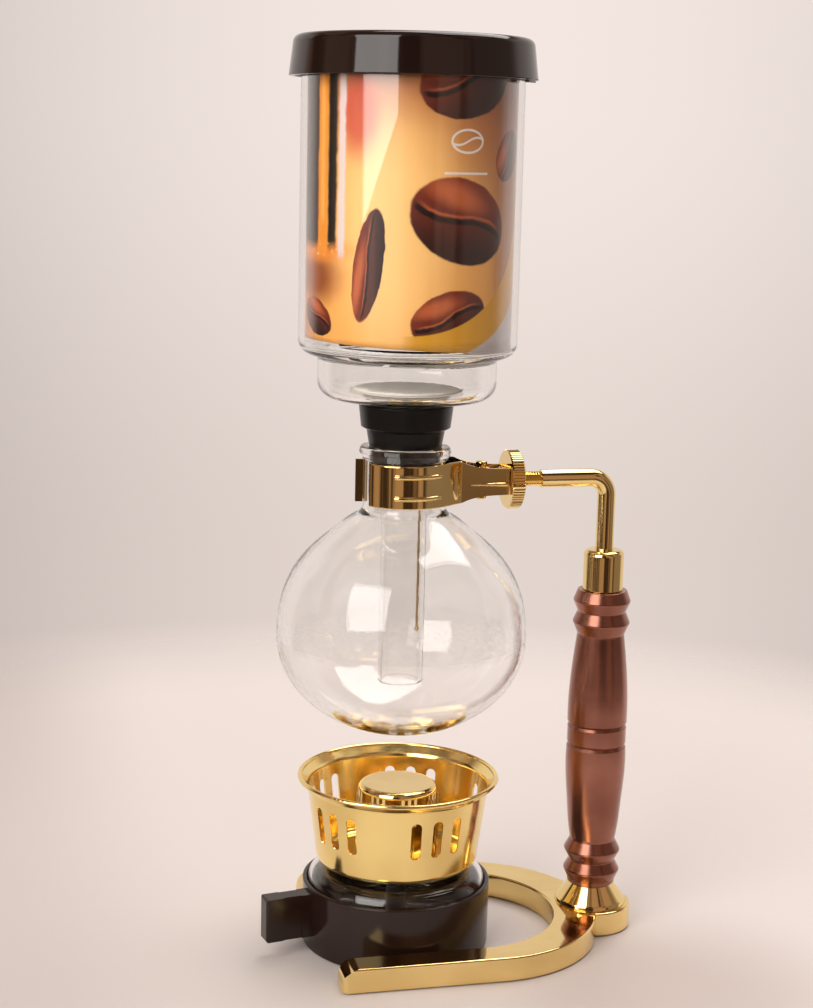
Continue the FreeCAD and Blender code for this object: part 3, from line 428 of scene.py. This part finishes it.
clothLook = {"gathers": 26, "segments": 208, "ripple": 0.22, "hem": 18.5, "inner": 15.5, "sheetTop": 1.25,
             "crown": 0.05, "drop": 0.15, "wall": 0.3, "weave": 260.0, "deep": shade("e6dfd4"),
             "bright": shade("fbf7f0"), "dampAndShade": shade("efe8dd"), "dampShadeTop": 0.2148, "dampShadeFoot": 0.2140,
             "cordThick": 0.28, "cordRise": 1.1, "cordSteps": 160}


def filterCloth():
    low, high = (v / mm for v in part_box("filter_cloth"))
    edge = high.x
    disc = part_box("filter_disc")[1] / mm
    foot = low.z - clothLook["drop"]
    top, under = high.z - clothLook["crown"], high.z - clothLook["sheetTop"]
    hem, inner, lining = clothLook["hem"], clothLook["inner"], foot + clothLook["wall"]
    # half section: over the disc, round its edge, in to the hem, and back inside
    outline = [(0.01, top)] + [(disc.x * k / 12, top) for k in range(1, 12)]
    outline += [(disc.x - 0.3, top - 0.05), (edge - 0.25, high.z - 0.5), (edge, disc.z)]
    outline += [(edge - 0.1, foot + 0.2), (edge - 0.5, foot), (hem, foot), (inner, foot), (inner, lining)]
    outline += [(disc.x + 0.05, lining), (disc.x + 0.08, disc.z + 0.1), (disc.x - 1.0, under), (0.01, under)]
    mesh = bmesh.new()
    points = [mesh.verts.new((r * mm, 0, z * mm)) for r, z in outline]
    edges = [mesh.edges.new(pair) for pair in zip(points, points[1:])]
    bmesh.ops.spin(mesh, geom=points + edges, cent=(0, 0, 0), axis=(0, 0, 1), angle=2 * math.pi,
                   steps=clothLook["segments"], use_merge=True)
    bmesh.ops.remove_doubles(mesh, verts=mesh.verts, dist=0.00002)
    bmesh.ops.recalc_face_normals(mesh, faces=mesh.faces)
    for point in mesh.verts:
        reach = math.hypot(point.co.x, point.co.y) / mm
        share = max(0.0, min(1.0, (reach - 14.0) / 6.0)) ** 2
        turn = math.atan2(point.co.y, point.co.x) * clothLook["gathers"]
        ripple = (math.sin(turn) + 0.5 * math.sin(turn * 1.5 + 1.0)) * clothLook["ripple"] * share * mm
        if point.co.z > disc.z * mm:
            point.co.z += min(ripple, 0.0)
        if reach > disc.x + 0.3:
            point.co.xy *= 1 + min(ripple, 0.0) / (reach * mm)
    piece = newPiece("filterCloth", mesh, "filter", [clothFinish("filterFlannel", clothLook)])
    cord = bmesh.new()
    thick, rise = clothLook["cordThick"], clothLook["cordRise"]
    ring = [(edge + 0.12 + thick * math.cos(a), foot + rise + thick * math.sin(a))
            for a in (k * math.pi / 5 for k in range(10))]
    points = [cord.verts.new((r * mm, 0, z * mm)) for r, z in ring]
    edges = [cord.edges.new((a, b)) for a, b in zip(points, points[1:] + points[:1])]
    bmesh.ops.spin(cord, geom=points + edges, cent=(0, 0, 0), axis=(0, 0, 1), angle=2 * math.pi,
                   steps=clothLook["cordSteps"], use_merge=True)
    bmesh.ops.recalc_face_normals(cord, faces=cord.faces)
    tie = newPiece("filterDrawstring", cord, "filter", [clothFinish("drawstring", {
        **clothLook, "deep": shade("b9ad9a"), "bright": shade("dcd2c2"), "weave": 900.0})])
    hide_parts("filter_cloth")
    print("filter cloth: radius", round(edge, 2), "mm")


# the wick's dark lower colour is partly spirit-soaked cotton and partly painted shade
wickLook = {"strands": 7, "turns": 5.0, "rings": 150, "sides": 84, "groove": 0.5, "fuzz": 0.12,
            "headGap": 0.0012, "tufts": 60, "tuftSpread": 0.85, "tuftTurn": 2.39996, "tuftLean": 0.25,
            "tuftFoot": 0.0011, "tuftRadii": (0.0004, 0.00012), "tuftLength": 0.0019,
            "weave": 700.0, "deep": shade("c9bda6"), "bright": shade("efe6d2"), "dampAndShade": shade("2e241d"),
            "dampShadeTop": 0.040, "dampShadeFoot": 0.031}


def cottonWick():
    low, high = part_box("wick")
    radius = high.x
    mesh = bmesh.new()
    rows = []
    for ring in range(wickLook["rings"] + 1):
        share = ring / wickLook["rings"]
        rise = low.z + (high.z - low.z - wickLook["headGap"]) * share
        twist = 2 * math.pi * wickLook["turns"] * share
        row = []
        for side in range(wickLook["sides"]):
            turn = 2 * math.pi * side / wickLook["sides"]
            lobe = abs(math.sin((turn - twist) * wickLook["strands"] / 2))
            cross = abs(math.sin((turn + twist) * wickLook["strands"]))
            reach = radius - wickLook["groove"] * mm * (1 - lobe) - wickLook["fuzz"] * mm * cross
            row.append(mesh.verts.new((reach * math.cos(turn), reach * math.sin(turn), rise)))
        rows.append(row)
    for below, above in zip(rows, rows[1:]):
        for k in range(len(below)):
            mesh.faces.new((below[k], below[(k + 1) % len(below)], above[(k + 1) % len(above)], above[k]))
    mesh.faces.new(rows[0][::-1])
    mesh.faces.new(rows[-1])
    lean, radii = wickLook["tuftLean"], wickLook["tuftRadii"]
    for tuft in range(wickLook["tufts"]):
        reach = radius * wickLook["tuftSpread"] * math.sqrt((tuft + 0.5) / wickLook["tufts"])
        turn = tuft * wickLook["tuftTurn"]
        aside = Matrix.Rotation(random.uniform(-lean, lean), 4, "X")
        aside = aside @ Matrix.Rotation(random.uniform(-lean, lean), 4, "Y")
        spot = Matrix.Translation((reach * math.cos(turn), reach * math.sin(turn), high.z - wickLook["tuftFoot"]))
        bmesh.ops.create_cone(mesh, cap_ends=True, segments=6, radius1=radii[0], radius2=radii[1],
                              depth=wickLook["tuftLength"] + random.uniform(-0.0004, 0.0001),
                              matrix=spot @ aside)
    bmesh.ops.recalc_face_normals(mesh, faces=mesh.faces)
    piece = newPiece("twistedWick", mesh, "burner", [clothFinish("cottonYarn", wickLook)])
    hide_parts("wick")
    print("wick: radius", round(radius / mm, 2), "mm")


printedRoll()
filterCloth()
cottonWick()


# the table colours carry painted shade: darker near the object, darker to the left, and a painted shadow at the
# front right
stageLook = {"radius": 0.9, "drop": 0.0002, "fade": (0.34, 0.52), "nearShaded": shade("e1d7d2"), "farLit": shade("f3e9e4"),
             "leftShade": shade("d3c8c2"), "leftShadeSide": (-0.05, -0.16), "paintedShadow": shade("c4b5ad"),
             "paintedShadowPlace": (0.085, -0.07), "paintedShadowReach": (0.10, 0.02), "paintedShadowStrength": 0.75}


def floorFinish():
    finish = Finish("paleTable")
    place = finish.coords()
    x, y, z = finish.axes(place)
    reach = (x ** 2 + y ** 2) ** 0.5
    speck = finish.noise(place, 900.0, 3.0)
    # painted shade: the table is darker close to the object and lighter further out
    colour = finish.blend(finish.step(reach, 0.0, 0.5), stageLook["nearShaded"], stageLook["farLit"])
    # painted shade: the table turns darker towards the left, where the light falls off
    colour = finish.blend(finish.step(x, *stageLook["leftShadeSide"]), colour, stageLook["leftShade"])
    # painted shadow: a soft darker patch on the table in front of and to the right of the stand
    px, py = stageLook["paintedShadowPlace"]
    paintedShadow = finish.step(((x - px) ** 2 + (y - py) ** 2) ** 0.5, *stageLook["paintedShadowReach"])
    colour = finish.blend(paintedShadow * stageLook["paintedShadowStrength"], colour, stageLook["paintedShadow"])
    solid = finish.principled({
        "Base Color": colour, "Roughness": 0.55 + speck * 0.1,
        "Normal": finish.bump(speck, 0.05, 0.0003)})
    clear = finish.node("ShaderNodeBsdfTransparent")
    fade = finish.step(reach, *stageLook["fade"])
    return finish.show(finish.node("ShaderNodeMixShader", {}, {0: fade, 1: solid, 2: clear}))


def makeFloor():
    mesh = bmesh.new()
    bmesh.ops.create_circle(mesh, cap_ends=True, radius=stageLook["radius"], segments=96)
    data = bpy.data.meshes.new("paleTable")
    mesh.to_mesh(data)
    mesh.free()
    data.materials.append(floorFinish())
    floor = bpy.data.objects.new("paleTable", data)
    bpy.context.scene.collection.objects.link(floor)
    floor.location.z = -stageLook["drop"]


roomLook = {"wallHigh": (0.905, 0.799, 0.753), "wallLow": (0.765, 0.665, 0.618), "wallRise": (-0.215, 0.03),
            "wallTurn": 74.5, "fallWidth": 13.7, "fallSlope": 0.2, "fallMost": 0.26, "skyline": (0.62, 0.42),
            "dark": (0.045, 0.027, 0.019), "warm": (0.40, 0.255, 0.19), "mottle": (0.44, 0.57),
            "mid": (0.26, 0.20, 0.172), "midSide": (50.0, 64.0), "pale": (0.80, 0.71, 0.66),
            "paleRight": (100.0, 118.0), "paleLeft": (-112.0, -124.0), "diffuseCut": 0.55}


def studioWorld():
    world = bpy.data.worlds.new("studio")
    bpy.context.scene.world = world
    world.use_nodes = True
    finish = Finish("studio", world.node_tree)
    way = finish.node("ShaderNodeTexCoord", output="Generated")
    x, y, z = finish.axes(way)
    turn = finish.node("ShaderNodeMath", {"operation": "ARCTAN2"}, {0: y, 1: x})
    degrees = turn * (180 / math.pi)
    # angle from the camera's side of the studio, positive to its right
    side = finish.node("ShaderNodeMath", {"operation": "WRAP"}, {0: degrees + frontTurn, 1: 180.0, 2: -180.0})
    # angle from the middle of the wall behind the object, positive to its right
    across = finish.node("ShaderNodeMath", {"operation": "WRAP"}, {
        0: roomLook["wallTurn"] - degrees, 1: 180.0, 2: -180.0})
    wall = finish.blend(finish.step(z, *roomLook["wallRise"]), roomLook["wallLow"], roomLook["wallHigh"])
    fall = (across / roomLook["fallWidth"]) ** 2 * roomLook["fallSlope"]
    wall = finish.blend(fall.math("MINIMUM", fall, roomLook["fallMost"]), wall, (0.0, 0.0, 0.0))
    low = finish.step(z, *roomLook["skyline"])
    cloud = finish.noise(finish.stretched(way, (1.0, 1.0, 0.7)), 2.6, 3.0)
    room = finish.blend(finish.step(cloud, *roomLook["mottle"]), roomLook["dark"], roomLook["warm"])
    room = finish.blend(finish.step(side, *roomLook["midSide"]) * low, room, roomLook["mid"])
    bright = finish.step(side, *roomLook["paleRight"]) + finish.step(side, *roomLook["paleLeft"])
    room = finish.blend(bright.math("MINIMUM", bright, 1.0) * low, room, roomLook["pale"])
    glossy = finish.node("ShaderNodeLightPath", output="Is Glossy Ray")
    diffuse = finish.node("ShaderNodeLightPath", output="Is Diffuse Ray")
    colour = finish.blend(glossy, wall, room)
    power = 1.0 - diffuse * roomLook["diffuseCut"]
    lamp = finish.node("ShaderNodeBackground", {}, {"Color": colour, "Strength": power})
    output = finish.tree.nodes.new("ShaderNodeOutputWorld")
    finish.tree.links.new(lamp.socket, output.inputs["Surface"])


def roundTable(angle, distance, height):
    # a place by its angle from the camera's side, positive to the right
    turn = math.radians(angle - frontTurn)
    return (distance * math.cos(turn), distance * math.sin(turn), height)


lampLook = {
    "windowBox": {"size": (0.76, 0.95), "power": 9.6, "place": roundTable(-35.5, 1.0, 0.70),
                  "target": (0.0, 0.0, 0.2), "roll": 9.0, "colour": (1.0, 0.97, 0.94)},
    "topBox": {"size": (0.9, 0.9), "power": 10.6, "place": (0.38, 0.28, 1.2),
               "target": (0.0, 0.0, 0.1), "roll": 0.0, "colour": (1.0, 0.965, 0.94)}}


def softBox(name, look):
    light = bpy.data.lights.new(name, "AREA")
    light.shape = "RECTANGLE"
    light.size, light.size_y = look["size"]
    light.energy = look["power"]
    light.color = look["colour"]
    lamp = bpy.data.objects.new(name, light)
    bpy.context.scene.collection.objects.link(lamp)
    aim = (Vector(look["target"]) - Vector(look["place"])).to_track_quat("-Z", "Y").to_matrix()
    aim = aim @ Matrix.Rotation(math.radians(look["roll"]), 3, "Z")
    lamp.matrix_world = Matrix.Translation(look["place"]) @ aim.to_4x4()
    lamp.visible_camera = False


viewLook = {"heading": 13.54, "pitch": 10.66, "roll": 1.30, "place": (-0.1649, -0.6887, 0.306), "focal": 68.3}


def makeCamera():
    heading, pitch, roll = (math.radians(viewLook[k]) for k in ("heading", "pitch", "roll"))
    level = Vector((math.sin(heading), math.cos(heading), 0)) * math.cos(pitch)
    ahead = level - Vector((0, 0, math.sin(pitch)))
    right = ahead.cross(Vector((0, 0, 1))).normalized()
    up = right.cross(ahead)
    leanRight = right * math.cos(roll) + up * math.sin(roll)
    leanUp = leanRight.cross(ahead)
    data = bpy.data.cameras.new("camera")
    data.lens = viewLook["focal"]
    data.sensor_width = 36.0
    camera = bpy.data.objects.new("camera", data)
    bpy.context.scene.collection.objects.link(camera)
    camera.matrix_world = Matrix.Translation(viewLook["place"]) @ Matrix(
        (leanRight, leanUp, -ahead)).transposed().to_4x4()
    bpy.context.scene.camera = camera


makeFloor()
studioWorld()
for lampName, lampPlan in lampLook.items():
    softBox(lampName, lampPlan)
makeCamera()
bpy.context.scene.view_settings.view_transform = "Standard"
print("stage and lights ready")

bpy.context.view_layer.update()
